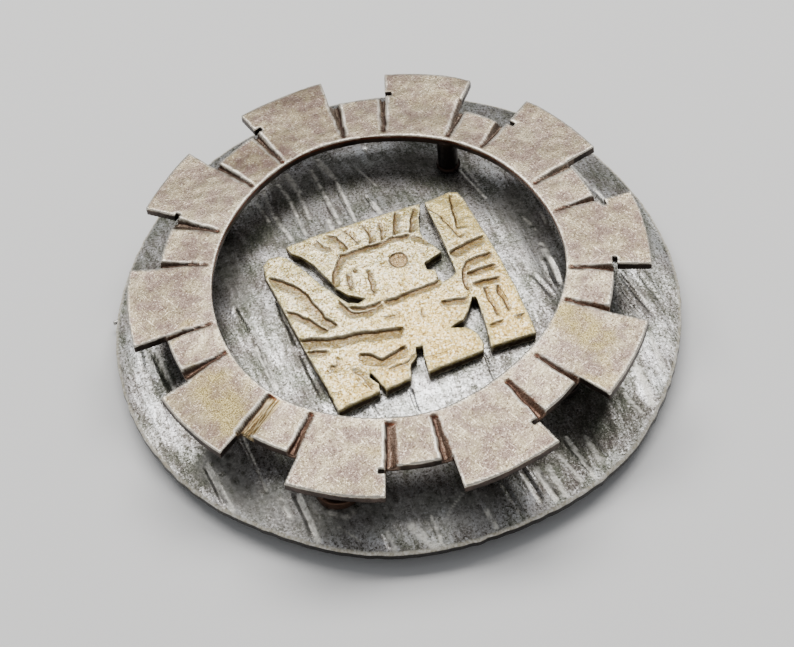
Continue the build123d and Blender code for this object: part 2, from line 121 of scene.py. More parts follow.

# Places rubbed bright, and places of painted sheen and painted reflection: start x and y, end x and y,
# width, strength
rubbed_and_sheen_places = [
    (8.4, 14.8, 10.6, 11.2, 1.0, 0.7), (-3.9, 16.9, 0.9, 17.3, 1.1, 0.8),
    (9.3, 3.3, 10.9, -1.9, 1.2, 0.8), (-23.2, -1.7, -22.9, -4.1, 0.8, 0.9),
    (-22.9, -4.1, -22.0, -7.5, 0.9, 1.0), (-22.0, -7.5, -20.2, -11.6, 1.3, 1.0),
    (-20.2, -11.6, -18.4, -13.4, 1.3, 0.9), (-17.3, -14.5, -15.9, -16.1, 0.7, 0.7),
    (19.9, -9.6, 20.6, -12.3, 1.0, 1.0), (21.2, -6.2, 21.8, -10.2, 1.6, 0.8),
    (23.4, 7.4, 23.7, 3.6, 0.8, 0.7), (-12.4, -1.5, -9.2, -9.2, 1.4, 0.3),
    (-5.0, -12.2, 7.0, -12.0, 4.6, 1.0), (8.5, -10.8, 12.0, -7.6, 1.6, 0.5),
    (18.7, 10.6, 20.3, 9.7, 1.2, 0.5), (16.5, -17.6, 19.4, -14.0, 0.6, 0.5),
    (-4.0, -23.4, 2.4, -23.9, 1.2, 0.4), (8.6, -20.6, 14.2, -18.4, 2.0, 0.4),
]

# Places where old tarnish stayed, and places darkened as painted shade, mostly near the ring: start x and
# y, end x and y, width, strength
tarnish_and_shade_places = [
    (7.1, 14.7, 10.3, 11.2, 1.6, 0.5), (10.3, 11.2, 13.4, 6.0, 1.6, 0.6),
    (2.0, 15.4, 5.4, 14.4, 1.6, 0.7), (-12.2, 8.0, -9.0, 12.0, 2.6, 0.6),
    (-14.6, 4.0, -13.2, 0.5, 1.8, 0.7), (-21.2, -3.0, -19.4, -9.4, 1.0, 0.8),
    (-17.0, -15.0, -12.0, -19.0, 1.4, 0.5), (-6.0, -20.5, 6.0, -20.5, 1.6, 0.5),
    (14.0, -13.0, 18.0, -9.0, 2.0, 0.5), (-2.4, -12.8, 1.2, -13.4, 0.8, 0.3),
    (4.2, -11.5, 5.9, -10.9, 0.6, 0.7), (-18.6, -13.4, -15.2, -18.2, 4.6, 0.9),
    (-15.2, -18.2, -9.0, -21.6, 3.6, 0.5), (12.0, -18.6, 18.0, -13.6, 4.6, 0.9),
    (-10.5, 7.4, -4.0, 9.4, 3.6, 0.3), (-4.0, 9.4, 6.0, 11.2, 3.0, 0.25),
    (-13.6, -1.6, -11.4, -7.8, 0.9, 0.6), (-13.4, 8.6, -12.8, 2.6, 3.6, 0.45),
    (-11.6, -1.5, -8.6, -9.6, 4.6, 0.35), (18.4, -13.8, 20.6, -9.6, 2.0, 0.3),
]

# Places dulled by a grey skin: start x and y, end x and y, width, strength
dulled_places = [
    (-16.4, -14.4, -14.4, -18.0, 3.6, 0.7), (-13.4, -18.6, -6.0, -21.6, 3.6, 0.6),
    (-4.0, -21.4, 5.0, -21.6, 3.6, 0.6), (11.0, 9.0, 13.4, 2.0, 3.4, 0.45),
    (-9.0, 13.2, -3.0, 15.4, 2.6, 0.35), (-3.0, 15.4, 6.0, 14.4, 2.6, 0.35),
    (-14.8, 7.0, -13.8, 1.5, 2.2, 0.35),
]


def ripple(places, wave, seed):
    """Seeded unevenness, mostly from -1 to 1, that changes over about one wave length."""
    dice = np.random.default_rng(seed)
    total = np.zeros(len(places))
    for _ in range(16):
        heading = dice.normal(size=places.shape[1])
        heading *= 2 * pi / (wave * dice.uniform(0.7, 1.6) * np.linalg.norm(heading))
        total += np.sin(places @ heading + dice.uniform(0, 2 * pi))
    return total / 5


def uneven(places, ripples):
    """Unevenness in millimetres, from ripples: height, wave length, seed."""
    return sum(height * ripple(places, wave, seed) for height, wave, seed in ripples)


def rise(values, low, high):
    """Smooth step from 0 at low to 1 at high."""
    share = np.clip((values - low) / (high - low), 0, 1)
    return share * share * (3 - 2 * share)


def bump(values, middle, width):
    """Smooth bump, 1 at its middle and nearly 0 two widths away."""
    return np.exp(-(((values - middle) / width) ** 2))


def around(angles, table):
    """Smooth share at each angle, from a table of angles and shares that closes on itself."""
    marks = np.array([row[0] for row in table], float)
    shares = np.array([row[1] for row in table], float)
    marks = np.concatenate([marks[-2:] - 360, marks, marks[:2] + 360])
    shares = np.concatenate([shares[-2:], shares, shares[:2]])
    slopes = np.gradient(shares, marks)
    spot = np.searchsorted(marks, angles, side="right") - 1
    gap = marks[spot + 1] - marks[spot]
    way = (angles - marks[spot]) / gap
    bend = slopes[spot] * (way**3 - 2 * way**2 + way) + slopes[spot + 1] * (way**3 - way**2)
    step = way * way * (3 - 2 * way)
    return shares[spot] * (1 - step) + shares[spot + 1] * step + gap * bend


def beside(x, y, row):
    """Share of the way along a drawn line, and distance to its side."""
    run_x = row[2] - row[0]
    run_y = row[3] - row[1]
    length = np.hypot(run_x, run_y)
    along = ((x - row[0]) * run_x + (y - row[1]) * run_y) / length**2
    side = ((x - row[0]) * run_y - (y - row[1]) * run_x) / length
    return along, side


def marked(x, y, table):
    """Strength of the strongest mark of a table at each place."""
    strength = np.zeros(len(x))
    for row in table:
        along, side = beside(x, y, row)
        length = np.hypot(row[2] - row[0], row[3] - row[1])
        past = np.maximum(np.maximum(-along, along - 1), 0) * length
        away = np.hypot(side, past)
        strength = np.maximum(strength, row[5] * (1 - rise(away, 0.25 * row[4], 0.75 * row[4])))
    return strength


def read_places(mesh):
    """Places of a mesh's vertices, in millimetres."""
    flat = np.empty(len(mesh.vertices) * 3, np.float32)
    mesh.vertices.foreach_get("co", flat)
    return flat.reshape(-1, 3).astype(float) / mm


def write_places(mesh, places):
    """Moves a mesh's vertices to places in millimetres."""
    mesh.vertices.foreach_set("co", (places * mm).astype(np.float32).ravel())
    mesh.update()


def write_share(mesh, name, values):
    """Keeps one value per vertex, for the finish to read."""
    layer = mesh.attributes.new(name, "FLOAT", "POINT")
    layer.data.foreach_set("value", values.astype(np.float32))


disc_shape = bmesh.new()
flat_radius = disc_radius - rim_round
section = [(radius, 0) for radius in np.linspace(0, covered_radius, covered_rings, endpoint=False)]
section += [(radius, 0) for radius in np.linspace(covered_radius, flat_radius, face_rings)]
rim_turns = np.linspace(0, pi, 7)[1:-1]
for turn in rim_turns[:3]:
    section.append((flat_radius + rim_round * sin(turn), rim_round * cos(turn) - rim_round))
for turn in rim_turns[2:]:
    section.append((flat_radius + rim_round * sin(turn), rim_round * cos(turn) + rim_round - disc_sheet))
section += [(radius, -disc_sheet) for radius in np.linspace(flat_radius, 0, back_rings)]
corners = [disc_shape.verts.new((radius * mm, 0, height * mm)) for radius, height in section]
for corner, next_corner in zip(corners, corners[1:]):
    disc_shape.edges.new((corner, next_corner))
bmesh.ops.spin(
    disc_shape, geom=disc_shape.verts[:] + disc_shape.edges[:], cent=(0, 0, 0), axis=(0, 0, 1),
    angle=2 * pi, steps=rim_steps, use_merge=True,
)
bmesh.ops.remove_doubles(disc_shape, verts=disc_shape.verts[:], dist=1e-7)
bmesh.ops.recalc_face_normals(disc_shape, faces=disc_shape.faces[:])
disc_mesh = bpy.data.meshes.new("hammered_disc")
disc_shape.to_mesh(disc_mesh)
disc_shape.free()

places = read_places(disc_mesh)
depth = -places[:, 2]
radius = np.hypot(places[:, 0], places[:, 1])
angle = np.degrees(np.arctan2(places[:, 1], places[:, 0])) % 360
rim_share = radius / disc_radius
growth = 1 + (around(angle, rim_waves) - 1) * rim_share**3
growth += 0.0018 * ripple(places[:, :2], 1.6, 11) * rim_share**14
x = places[:, 0] * growth
y = places[:, 1] * growth
flat_places = np.stack([x, y], axis=1)
across_lines = x * cos(radians(chase_turn)) + y * sin(radians(chase_turn))
along_lines = y * cos(radians(chase_turn)) - x * sin(radians(chase_turn))
drawn_out = np.stack([across_lines, along_lines * 0.13], axis=1)

dents = uneven(flat_places, [(0.050, 9.0, 1), (0.010, 3.4, 2)])
dents += uneven(drawn_out, [(0.018, 1.5, 4), (0.006, 0.7, 3)])
hollow = np.zeros(len(x))
lips = np.zeros(len(x))
unsteady = 0.05 * ripple(flat_places, 1.8, 5)
for row in chased_lines:
    along, side = beside(x, y, row)
    side = side + unsteady
    half = 0.38 * row[4]
    ends = rise(along, 0, 0.16) * rise(1 - along, 0, 0.30)
    hollow = np.maximum(hollow, row[5] * ends * np.clip(1 - (side / half) ** 2, 0, 1))
    lips = np.maximum(lips, 0.35 * row[5] * ends * bump(np.abs(side), 1.3 * half, 0.4 * half))
from_solder = np.hypot(x - solder_trace[0], y - solder_trace[1])
lips += 0.05 * bump(from_solder, solder_trace[2], solder_trace[3])
on_face = 1 - rise(depth, 0.1, 0.7)
height = dome_centre + np.sqrt((dome_radius - depth) ** 2 - x**2 - y**2)
height += on_face * (dents - 0.06 - 0.7 * hollow + 0.7 * lips)
write_places(disc_mesh, np.stack([x, y, height], axis=1))

broken = np.clip(0.8 + 0.5 * ripple(flat_places, 0.9, 6), 0, 1)
write_share(disc_mesh, "groove", on_face * hollow / 0.2)
# Scored lines with painted glints, broken up
scored_and_glint = 1.25 * marked(x + 0.4 * unsteady, y, bright_lines) * broken
write_share(disc_mesh, "scored_and_glint", on_face * np.clip(scored_and_glint, 0, 1))
# Rubbed places and raised lips: partly real wear, partly painted sheen and painted reflection
write_share(disc_mesh, "rubbed_and_sheen", on_face * np.clip(marked(x, y, rubbed_and_sheen_places) * broken + 2 * lips, 0, 1))
# Old tarnish together with painted shade, kept off the rim
write_share(disc_mesh, "tarnish_and_shade", marked(x, y, tarnish_and_shade_places) * (1 - rise(rim_share, 0.96, 0.98)))
write_share(disc_mesh, "dulled", on_face * marked(x, y, dulled_places) * broken)
write_share(disc_mesh, "rim", rise(rim_share, 0.9915, 0.9945) * (1 - rise(depth, 0.04, 0.12)))
# Side wall of the disc below its rim, painted near black as shade
write_share(disc_mesh, "wall", rise(depth, 0.06, 0.16) * rise(rim_share, 0.97, 0.985))


def new_finish(name):
    """New material, its node tree and its one shader."""
    finish = bpy.data.materials.new(name)
    finish.use_nodes = True
    return finish, finish.node_tree, finish.node_tree.nodes["Principled BSDF"]


def carried(tree, name):
    """Value that a mesh carries for its finish."""
    node = tree.nodes.new("ShaderNodeAttribute")
    node.attribute_name = name
    return node.outputs["Fac"]


def mottle(tree, size, detail=3.0, stretch=1.0, turn=0.0, shift=0.0):
    """Uneven value near 0.5, with spots of a size in millimetres, which may be drawn out one way."""
    where = tree.nodes.new("ShaderNodeTexCoord")
    mapping = tree.nodes.new("ShaderNodeMapping")
    mapping.vector_type = "TEXTURE"
    mapping.inputs["Location"].default_value = (shift * mm, shift * mm, 0)
    mapping.inputs["Rotation"].default_value = (0, 0, radians(turn))
    mapping.inputs["Scale"].default_value = (1, stretch, 1)
    noise = tree.nodes.new("ShaderNodeTexNoise")
    noise.inputs["Scale"].default_value = 1 / (size * mm)
    noise.inputs["Detail"].default_value = detail
    tree.links.new(where.outputs["Object"], mapping.inputs["Vector"])
    tree.links.new(mapping.outputs["Vector"], noise.inputs["Vector"])
    return noise.outputs[0]


def put(tree, socket, value):
    """Sets a socket to a number or colour, or links it to another socket."""
    if isinstance(value, bpy.types.NodeSocket):
        tree.links.new(value, socket)
    else:
        socket.default_value = (*value, 1) if isinstance(value, tuple) else value


def stretch_range(tree, value, low, high, start=0.0, end=1.0):
    """Value that goes from start to end as another goes from low to high."""
    node = tree.nodes.new("ShaderNodeMapRange")
    for place, amount in enumerate((value, low, high, start, end)):
        put(tree, node.inputs[place], amount)
    return node.outputs["Result"]


def reckon(tree, rule, first, second):
    """Sum, difference, product or larger one of two values."""
    node = tree.nodes.new("ShaderNodeMath")
    node.operation = rule
    put(tree, node.inputs[0], first)
    put(tree, node.inputs[1], second)
    return node.outputs[0]


def tint(tree, share, first, second):
    """Colour between two colours."""
    node = tree.nodes.new("ShaderNodeMix")
    node.data_type = "RGBA"
    put(tree, node.inputs["Factor"], share)
    put(tree, node.inputs["A"], first)
    put(tree, node.inputs["B"], second)
    return node.outputs["Result"]


def shades(tree, value, stops):
    """Colour from a scale of stops: place and colour."""
    node = tree.nodes.new("ShaderNodeValToRGB")
    scale = node.color_ramp
    for place, colour in stops[2:]:
        scale.elements.new(place)
    for element, (place, colour) in zip(scale.elements, sorted(stops)):
        element.position = place
        element.color = (*colour, 1)
    tree.links.new(value, node.inputs["Fac"])
    return node.outputs["Color"]


def layered(tree, light, layers):
    """Brightness with layers added: value, its low and high end, what is added at each."""
    for value, low, high, start, end in layers:
        light = reckon(tree, "ADD", light, stretch_range(tree, value, low, high, start, end))
    return light


def shifted(tree, light, shifts):
    """Brightness shifted where the mesh carries a mark: name, full shift."""
    for name, shift in shifts:
        light = reckon(tree, "ADD", light, reckon(tree, "MULTIPLY", carried(tree, name), shift))
    return light


def coated(tree, colour, coats):
    """Colour with coats where the mesh carries a mark: name, full share, colour of the coat."""
    for name, share, coat in coats:
        colour = tint(tree, reckon(tree, "MULTIPLY", carried(tree, name), share), colour, coat)
    return colour


def relief(tree, shader, layers):
    """Fine relief on a shader, from layers of value, height in millimetres and strength."""
    normal = None
    for value, height, strength in layers:
        node = tree.nodes.new("ShaderNodeBump")
        node.inputs["Distance"].default_value = height * mm
        node.inputs["Strength"].default_value = strength
        tree.links.new(value, node.inputs["Height"])
        if normal:
            tree.links.new(normal, node.inputs["Normal"])
        normal = node.outputs["Normal"]
    tree.links.new(normal, shader.inputs["Normal"])


def finished(mesh, finish, name):
    """A piece with its finish, smooth and in the scene."""
    mesh.materials.clear()
    mesh.materials.append(finish)
    mesh.shade_smooth()
    piece = bpy.data.objects.new(name, mesh)
    bpy.context.scene.collection.objects.link(piece)
    return piece


disc_finish, tree, shader = new_finish("oxidised_silver")
cloud = mottle(tree, 4.0, detail=4)
tones = mottle(tree, 2.6, detail=3, shift=9)
grain = mottle(tree, 0.24, detail=2)
fine = mottle(tree, 0.11, detail=1, shift=2)
pits = mottle(tree, 0.20, detail=1, shift=7)
specks = mottle(tree, 0.20, detail=2, shift=4)
patchy = mottle(tree, 0.8, detail=3, stretch=2.5, turn=chase_turn, shift=5)
drawn = mottle(tree, 0.40, detail=3, stretch=12, turn=chase_turn)
light = stretch_range(tree, cloud, 0.3, 0.7, 0.34, 0.56)
light = layered(tree, light, [
    (tones, 0.3, 0.7, -0.06, 0.06), (patchy, 0.35, 0.65, -0.13, 0.13), (grain, 0.35, 0.65, -0.11, 0.11),
    (fine, 0.40, 0.60, -0.11, 0.11), (drawn, 0.3, 0.7, -0.17, 0.17), (pits, 0.58, 0.64, 0.0, -0.33),
    (specks, 0.60, 0.65, 0.0, 0.23),
])
# Lighter where rubbed or with painted sheen, darker where tarnished or in painted shade, and in the chased
# grooves
light = shifted(tree, light, [("rubbed_and_sheen", 0.40), ("tarnish_and_shade", -0.30), ("groove", -0.20)])
silver = shades(tree, light, [
    (0.0, (0.03, 0.032, 0.024)), (1.0, (0.95, 0.97, 1.0)),
    (0.30, (0.15, 0.147, 0.13)), (0.60, (0.50, 0.495, 0.485)),
])
green_and_pink = shades(tree, tones, [(0.38, (0.25, 0.27, 0.20)), (0.62, (0.34, 0.25, 0.255))])
silver = tint(tree, 0.18, silver, green_and_pink)
dirty_places = stretch_range(tree, cloud, 0.40, 0.60, 1.0, 0.2)
dirt = reckon(tree, "MULTIPLY", stretch_range(tree, specks, 0.40, 0.46, 0.5, 0.0), dirty_places)
silver = tint(tree, dirt, silver, (0.20, 0.205, 0.155))
silver = tint(tree, stretch_range(tree, pits, 0.58, 0.64, 0.0, 0.40), silver, (0.07, 0.07, 0.058))
grey_skin = tint(tree, grain, (0.16, 0.16, 0.145), (0.62, 0.60, 0.57))
silver = coated(tree, silver, [("dulled", 1.0, grey_skin)])
broken_grain = stretch_range(tree, grain, 0.36, 0.54, 0.5, 1.0)
# Painted glints along the scored lines: near white and nearly matte, so they stay bright
bright = reckon(tree, "MULTIPLY", carried(tree, "scored_and_glint"), broken_grain)
silver = tint(tree, bright, silver, (1.0, 0.97, 0.88))
rim_gold = tint(tree, stretch_range(tree, grain, 0.35, 0.65), (0.60, 0.54, 0.40), (1.0, 0.96, 0.86))
# The side wall painted near black as shade, and a thin light rim line along the top edge
silver = coated(tree, silver, [("wall", 1.0, (0.035, 0.032, 0.03)), ("rim", 0.9, rim_gold)])
put(tree, shader.inputs["Base Color"], silver)
dull = reckon(tree, "MAXIMUM", dirt, reckon(tree, "MULTIPLY", bright, 0.9))
dull = reckon(tree, "MAXIMUM", dull, reckon(tree, "MULTIPLY", carried(tree, "rim"), 0.8))
dull = reckon(tree, "MAXIMUM", dull, carried(tree, "dulled"))
put(tree, shader.inputs["Metallic"], stretch_range(tree, dull, 0.0, 1.0, 1.0, 0.10))
put(tree, shader.inputs["Roughness"], stretch_range(tree, light, 0.0, 1.0, 0.47, 0.31))
relief(tree, shader, [(drawn, 0.04, 0.5), (grain, 0.018, 0.6), (pits, 0.02, 0.5)])
hammered_disc = finished(disc_mesh, disc_finish, "hammered_disc")
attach(hammered_disc, "root")
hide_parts("domed_disc")


# Notched ring: sawn from one sheet of copper-rich silver, with V notches filed between its
# tabs, and soldered on short posts that stand on the disc. It was never polished: a matte
# pinkish grey skin with brown stains, bright edges, and reddish firescale in the notches.
# Its walls, underside and posts carry painted shade.
ring_x = -0.54
ring_y = -0.56
ring_top = 9.174
ring_inner = 15.25
notch_end = 20.3
notch_start = 0.5
notch_run = 4.1
front_post_x = -6.36
front_post_y = -18.48

# Fall of the ring's face per millimetre outwards, and its rise per millimetre to the right
fall_per_mm = 0.5 / 7.55
ring_slope = 0.0209

# Ring's stains: start x and y, end x and y, width, strength
gold_stains = [
    (14.2, -7.4, 16.6, -9.8, 3.0, 1.0), (16.6, -9.8, 17.2, -14.6, 1.0, 0.5),
    (14.6, -13.4, 17.4, -15.2, 0.9, 0.6), (-16.2, -10.4, -14.6, -14.0, 3.4, 1.0),
    (-14.6, -14.2, -15.2, -12.2, 1.6, 0.7), (-17.8, -3.5, -20.0, -5.5, 0.9, 0.8),
    (-4.2, -18.6, -1.6, -19.0, 1.0, 0.5), (-12.4, -8.8, -14.0, -12.8, 0.5, 0.4),
    (3.6, 18.2, 6.2, 18.6, 1.4, 0.3), (20.4, 9.8, 21.8, 7.6, 1.2, 0.3),
]

# The one notch with a gold skin, and darker places of the ring, in the same way
gold_notch = (-10.6, -12.4, -13.6, -15.9, 1.6, 1.0)
darker_tabs = [
    (-12.2, 14.8, -10.2, 13.8, 5.0, 1.5), (-17.8, -10.5, -15.4, -14.0, 7.0, 1.2),
    (-9.2, 17.6, -6.4, 18.4, 7.0, 0.8), (-18.6, 4.4, -16.6, 4.2, 4.0, 0.4),
    (-20.5, -1.2, -18.0, -0.6, 6.0, 0.75), (18.0, 1.6, 20.5, 1.2, 6.0, 0.6),
    (-7.2, -18.6, -4.6, -19.2, 7.0, 0.4), (5.8, -19.2, 9.0, -18.4, 7.0, 0.5),
    (15.6, -11.6, 18.0, -9.0, 6.0, 0.3), (0.0, -17.0, 0.8, -17.0, 4.0, 0.55),
]


def remeshed(node, name, scale):
    """Mesh of a CAD piece with its doubles merged, in small even faces that keep its edges."""
    welded = bmesh.new()
    welded.from_mesh(node.data)
    bmesh.ops.remove_doubles(welded, verts=welded.verts[:], dist=1e-7)
    mesh = bpy.data.meshes.new(name)
    welded.to_mesh(mesh)
    welded.free()
    rough_piece = bpy.data.objects.new(name + "_rough", mesh)
    bpy.context.scene.collection.objects.link(rough_piece)
    skin = rough_piece.modifiers.new("skin", "REMESH")
    skin.mode = "SHARP"
    skin.octree_depth = 9
    skin.scale = scale
    skin.use_remove_disconnected = False
    bpy.context.view_layer.update()
    ready = rough_piece.evaluated_get(bpy.context.evaluated_depsgraph_get())
    fine = bpy.data.meshes.new_from_object(ready)
    fine.name = name
    bpy.data.objects.remove(rough_piece)
    return fine


def evened(mesh, places, rounds):
    """Places after each is drawn to the mean of its neighbours a number of times."""
    ends = np.empty(len(mesh.edges) * 2, np.int32)
    mesh.edges.foreach_get("vertices", ends)
    first, second = ends[0::2], ends[1::2]
    count = np.bincount(ends, minlength=len(places))[:, None]
    for _ in range(rounds):
        total = np.stack([
            np.bincount(first, places[second, axis], len(places))
            + np.bincount(second, places[first, axis], len(places)) for axis in range(3)
        ], axis=1)
        places = 0.5 * places + 0.5 * total / count
    return places


def outward(mesh):
    """Directions out of a mesh's vertices."""
    flat = np.empty(len(mesh.vertices) * 3, np.float32)
    mesh.vertex_normals.foreach_get("vector", flat)
    return flat.reshape(-1, 3).astype(float)


def edge_height(mesh, places, rounds):
    """Height of each place over the smoothed piece: above 0 at edges, below it in hollows."""
    return np.sum((places - evened(mesh, places, rounds)) * outward(mesh), axis=1)


# Notches: angle, width at the outer and inner end, depth at them, redness from 0 to 1
notches = [
    (16.8, 0.40, 0.25, 0.45, 0.18, 0.5), (30.0, 0.70, 0.40, 0.55, 0.25, 0.1),
    (53.2, 1.10, 0.35, 0.60, 0.25, 0.1), (65.3, 1.05, 0.45, 0.60, 0.30, 0.0),
    (86.7, 0.70, 0.50, 0.55, 0.30, 0.1), (99.6, 1.00, 0.45, 0.60, 0.30, 0.0),
    (121.6, 0.70, 0.45, 0.50, 0.28, 0.2), (134.9, 0.70, 0.35, 0.50, 0.28, 0.2),
    (155.7, 0.90, 0.40, 0.55, 0.30, 0.1), (169.1, 0.50, 0.35, 0.45, 0.20, 0.2),
    (192.5, 0.50, 0.25, 0.50, 0.20, 0.4), (205.0, 0.75, 0.40, 0.50, 0.22, 0.6),
    (228.8, 1.60, 1.45, 0.45, 0.25, 0.0), (241.9, 0.80, 0.50, 0.50, 0.25, 0.7),
    (266.6, 1.15, 0.95, 0.50, 0.30, 0.5), (280.1, 1.05, 0.70, 0.50, 0.30, 0.6),
    (305.5, 0.95, 0.55, 0.50, 0.28, 0.9), (318.3, 0.55, 0.35, 0.50, 0.22, 0.8),
    (341.0, 0.60, 0.35, 0.45, 0.22, 0.9), (353.8, 0.50, 0.35, 0.45, 0.22, 0.8),
]

ring_mesh = remeshed(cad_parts["notched_ring"], "tab_ring", scale=0.585)
places = read_places(ring_mesh)
from_ring = places[:, :2] - (ring_x, ring_y)
ring_radius = np.hypot(from_ring[:, 0], from_ring[:, 1])
face_height = ring_top + ring_slope * from_ring[:, 0] - fall_per_mm * (ring_radius - ring_inner)
below = face_height - places[:, 2]
filed = np.zeros(len(places))
in_notch = np.zeros(len(places))
redness = np.zeros(len(places))
shaded = np.zeros(len(places))
unsteady = 0.04 * ripple(places[:, :2], 1.8, 25)
for notch_angle, outer_width, inner_width, outer_depth, inner_depth, red in notches:
    heading = (cos(radians(notch_angle)), sin(radians(notch_angle)))
    out = from_ring[:, 0] * heading[0] + from_ring[:, 1] * heading[1]
    side = from_ring[:, 1] * heading[0] - from_ring[:, 0] * heading[1] + unsteady
    way = np.clip((out - ring_inner - notch_start) / notch_run, 0, 1)
    half = (inner_width + (outer_width - inner_width) * way) / 2
    floor = inner_depth + (outer_depth - inner_depth) * way
    reach = rise(out, ring_inner + 0.25, ring_inner + 0.65) * (out < notch_end)
    slant = np.clip((1.05 * half - side) / (1.7 * half), 0, 1) * rise(1.05 * half + side, 0, 0.18)
    inside = rise(half - np.abs(side), -0.10, 0.06) * reach
    filed = np.maximum(filed, floor * reach * slant)
    in_notch = np.maximum(in_notch, inside)
    redness = np.maximum(redness, red * inside)
    shaded = np.maximum(shaded, bump(side + half, 0.10, 0.13) * reach * (out > 0))
drop = np.where(below < 0.6, np.maximum(filed - below, 0), 0)
places[:, 2] -= drop
places = evened(ring_mesh, places, 1)
write_places(ring_mesh, places)
below = face_height - places[:, 2]
bends = 0.11 * ripple(places[:, :2], 9.0, 21) * rise(ring_radius, 16.0, 22.0) * (1 - rise(below, 1.2, 2.0))
unevenness = uneven(places, [(0.020, 2.6, 22), (0.009, 0.9, 23), (0.004, 0.45, 24)])
places = places + outward(ring_mesh) * unevenness[:, None]
places[:, 2] += bends
write_places(ring_mesh, places)
ridge = edge_height(ring_mesh, places, 5)
in_notch = in_notch * (1 - rise(below, 0.72, 0.86))
on_face = 1 - rise(below, 0.10, 0.20)
write_share(ring_mesh, "worn", np.clip(ridge / 0.030 - 0.5, 0, 1) * on_face)
write_share(ring_mesh, "hollow", np.clip(-ridge / 0.035 - 0.2, 0, 1))
write_share(ring_mesh, "notch", in_notch)
write_share(ring_mesh, "red", redness * in_notch)
write_share(ring_mesh, "shaded", shaded * in_notch)
# Walls and underside of the ring, painted near black as shade
write_share(ring_mesh, "under_shade", rise(below, 0.06, 0.18) * (1 - in_notch))
from_post = np.hypot(places[:, 0] - front_post_x, places[:, 1] - front_post_y)
# Painted shadow on the underside and the posts, deeper than the sheet, weaker near the front post
write_share(ring_mesh, "deep_shade", rise(below, 0.85, 1.05) * (0.3 + 0.7 * rise(from_post, 2.4, 2.8)))
# Solder round the foot of the front post, its colour darkened as painted shade
write_share(ring_mesh, "shaded_solder", rise(from_post, 1.0, 1.3) * (from_post < 2.4) * rise(below, 2.0, 2.4))
# Places of the ring whose colour is darkened
write_share(ring_mesh, "dull", marked(places[:, 0], places[:, 1], darker_tabs))
inner_wall = rise(below, 0.05, 0.12) * (1 - rise(below, 0.22, 0.40)) * (ring_radius < 15.9)
write_share(ring_mesh, "inside", inner_wall)
write_share(ring_mesh, "stain", marked(places[:, 0], places[:, 1], gold_stains))
write_share(ring_mesh, "gold", marked(places[:, 0], places[:, 1], [gold_notch]) * in_notch)
write_share(ring_mesh, "lip", 1 - rise(ring_radius, 15.5, 16.6))

ring_finish, tree, shader = new_finish("matte_pink_silver")
cloud = mottle(tree, 4.5, detail=4, shift=3)
patches = mottle(tree, 1.3, detail=4, shift=11)
fine = mottle(tree, 0.10, detail=1, shift=5)
bright_spots = mottle(tree, 0.17, detail=2, shift=1)
dark_spots = mottle(tree, 0.19, detail=2, shift=8)
brushed = mottle(tree, 0.16, detail=2, stretch=7, turn=-28)
scratches = mottle(tree, 0.09, detail=1, stretch=24, turn=40)
cross_scratches = mottle(tree, 0.09, detail=1, stretch=20, turn=-55, shift=6)
file_marks = mottle(tree, 0.16, detail=1, stretch=14, turn=138.8)
light = stretch_range(tree, cloud, 0.3, 0.7, 0.37, 0.57)
light = layered(tree, light, [
    (patches, 0.3, 0.7, -0.15, 0.15), (fine, 0.40, 0.60, -0.14, 0.14), (brushed, 0.35, 0.65, -0.07, 0.07),
    (bright_spots, 0.60, 0.66, 0.0, 0.32), (dark_spots, 0.59, 0.65, 0.0, -0.34),
    (scratches, 0.67, 0.71, 0.0, 0.40), (cross_scratches, 0.68, 0.72, 0.0, 0.34),
])
# Lighter along the inner edge, and darkened on some tabs
light = shifted(tree, light, [("lip", 0.10), ("dull", -0.20)])
skin = shades(tree, light, [
    (0.0, (0.06, 0.042, 0.028)), (1.0, (0.84, 0.74, 0.58)), (0.5, (0.285, 0.232, 0.176)),
])
pink_and_yellow = shades(tree, patches, [(0.40, (0.30, 0.20, 0.18)), (0.60, (0.37, 0.305, 0.165))])
skin = tint(tree, 0.36, skin, pink_and_yellow)
skin = tint(tree, stretch_range(tree, dark_spots, 0.60, 0.66, 0.0, 0.40), skin, (0.10, 0.065, 0.05))
skin = tint(tree, stretch_range(tree, bright_spots, 0.62, 0.68, 0.0, 0.25), skin, (0.90, 0.82, 0.70))
brown = shades(tree, fine, [(0.38, (0.13, 0.095, 0.03)), (0.62, (0.42, 0.34, 0.16))])
patchy_stain = stretch_range(tree, patches, 0.36, 0.56, 0.40, 0.95)
skin = tint(tree, reckon(tree, "MULTIPLY", carried(tree, "stain"), patchy_stain), skin, brown)
notch_skin = shades(tree, fine, [(0.38, (0.11, 0.08, 0.06)), (0.62, (0.26, 0.205, 0.165))])
red_skin = shades(tree, fine, [(0.38, (0.10, 0.042, 0.025)), (0.62, (0.27, 0.165, 0.115))])
gold_skin = shades(tree, file_marks, [(0.40, (0.20, 0.13, 0.05)), (0.60, (0.72, 0.58, 0.33))])
# Painted shade for the ring's walls and underside
under_shade_colour = shades(tree, patches, [(0.35, (0.022, 0.015, 0.012)), (0.65, (0.07, 0.048, 0.038))])
skin = coated(tree, skin, [
    ("notch", 0.85, notch_skin),
    ("red", 1.0, red_skin),
    ("gold", 1.0, gold_skin),
    ("shaded", 0.75, (0.035, 0.018, 0.012)),
    ("under_shade", 1.0, under_shade_colour),
    # painted shadow under the ring and on the posts
    ("deep_shade", 0.8, (0.014, 0.01, 0.009)),
    # solder darkened as painted shade
    ("shaded_solder", 0.8, (0.12, 0.065, 0.042)),
    ("inside", 0.8, (0.24, 0.06, 0.02)),
    ("worn", 0.9, (1.0, 0.94, 0.82)),
    ("hollow", 0.7, (0.05, 0.025, 0.018)),
])
put(tree, shader.inputs["Base Color"], skin)
shader.inputs["Metallic"].default_value = 0.9
put(tree, shader.inputs["Roughness"], stretch_range(tree, light, 0.2, 0.8, 0.47, 0.32))
